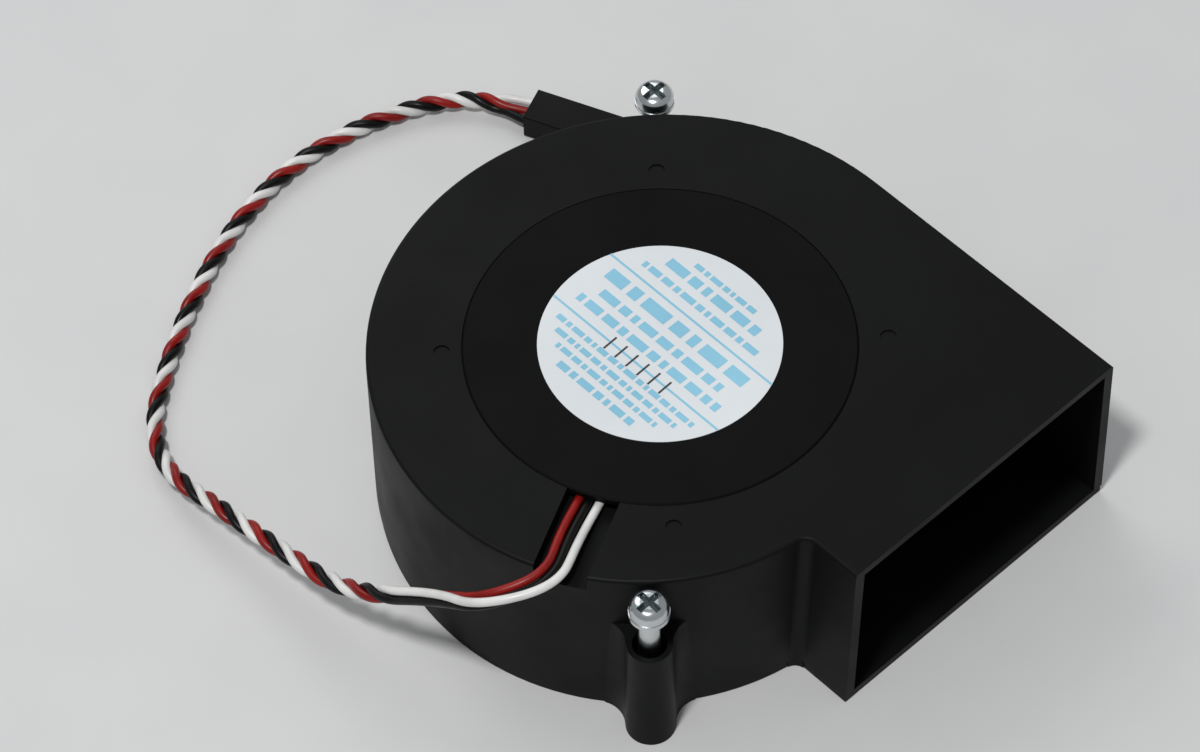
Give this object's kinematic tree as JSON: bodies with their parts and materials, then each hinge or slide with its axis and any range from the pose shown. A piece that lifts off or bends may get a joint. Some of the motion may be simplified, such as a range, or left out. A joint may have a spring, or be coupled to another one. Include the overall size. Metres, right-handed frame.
{
  "type": "dc blower fan",
  "caption": "Flat centrifugal blower in a black snail-shell casing, with side duct outlet, captive fixing screws and a twisted lead to a small plug.",
  "frame": {"origin": "on the impeller's axis, in the base plane at the inlet's face", "axes": "+X out of the outlet duct, +Y towards the casing's straight side, +Z along the impeller's axis to the motor side"},
  "size_m": [0.1401, 0.1068, 0.034],
  "materials": {
    "casing_plastic": "fine satin moulding, black",
    "plate_plastic": "satin black",
    "label_paper": "white printed film",
    "brass": "turned",
    "bearing_steel": "polished",
    "core_steel": "stacked sheet",
    "insulator_plastic": "natural nylon",
    "copper_winding": "enamelled copper",
    "board": "green solder mask",
    "chip": "moulded",
    "tin": "tinned",
    "magnet": "bonded ferrite",
    "rotor_steel": "drawn sheet",
    "spring_steel": "hardened",
    "impeller_plastic": "satin black",
    "screw_zinc": "bright zinc",
    "red_wire": "soft sleeve",
    "black_wire": "soft sleeve",
    "white_wire": "soft sleeve",
    "twisted_wires": "red, black and white sleeves twisted together",
    "plug_plastic": "satin black"
  },
  "bodies": {
    "casing": {"housing": "casing_plastic", "inlet_cover": "casing_plastic", "motor_plate": "plate_plastic", "label": "label_paper", "bearing_tube": "brass", "stator_core": "core_steel", "lower_insulator": "insulator_plastic", "upper_insulator": "insulator_plastic", "stator_windings": "copper_winding", "circuit_board": "board", "terminal_pins": "tin", "driver_chip": "chip", "capacitor": "insulator_plastic", "resistors": "chip", "hall_sensor": "chip", "lower_bearing_outer": "bearing_steel", "upper_bearing_outer": "bearing_steel", "lower_bearing_balls": "bearing_steel", "upper_bearing_balls": "bearing_steel", "red_lead": "red_wire", "black_lead": "black_wire", "white_lead": "white_wire", "twisted_lead": "twisted_wires", "plug_housing": "plug_plastic", "plug_contacts": "tin"},
    "rotor": {"impeller_hub": "impeller_plastic", "blade_ring": "impeller_plastic", "rotor_cup": "rotor_steel", "magnet_ring": "magnet", "rotor_boss": "brass", "shaft": "bearing_steel", "retaining_ring": "spring_steel", "lower_bearing_inner": "bearing_steel", "upper_bearing_inner": "bearing_steel", "preload_washer": "spring_steel"},
    "front_washer_set": {"front_washer": "screw_zinc"},
    "front_screw_set": {"front_screw": "screw_zinc"},
    "back_washer_set": {"back_washer": "screw_zinc"},
    "back_screw_set": {"back_screw": "screw_zinc"}
  },
  "joints": [
    {"name": "impeller_spin", "type": "hinge", "parent": "casing", "child": "rotor", "pos_m": [0, 0, 0.02], "axis": [0, 0, 1], "continuous": true},
    {"name": "front_screw_slide", "type": "slide", "parent": "casing", "child": "front_washer_set", "axis": [0, 0, 1], "range_m": [-0.0079, 0.002]},
    {"name": "front_screw_turn", "type": "hinge", "parent": "front_washer_set", "child": "front_screw_set", "pos_m": [0.03363, -0.03497, 0.03], "axis": [0, 0, 1], "continuous": true},
    {"name": "back_screw_slide", "type": "slide", "parent": "casing", "child": "back_washer_set", "axis": [0, 0, 1], "range_m": [-0.0079, 0.002]},
    {"name": "back_screw_turn", "type": "hinge", "parent": "back_washer_set", "child": "back_screw_set", "pos_m": [-0.03712, 0.03482, 0.03], "axis": [0, 0, 1], "continuous": true}
  ]
}
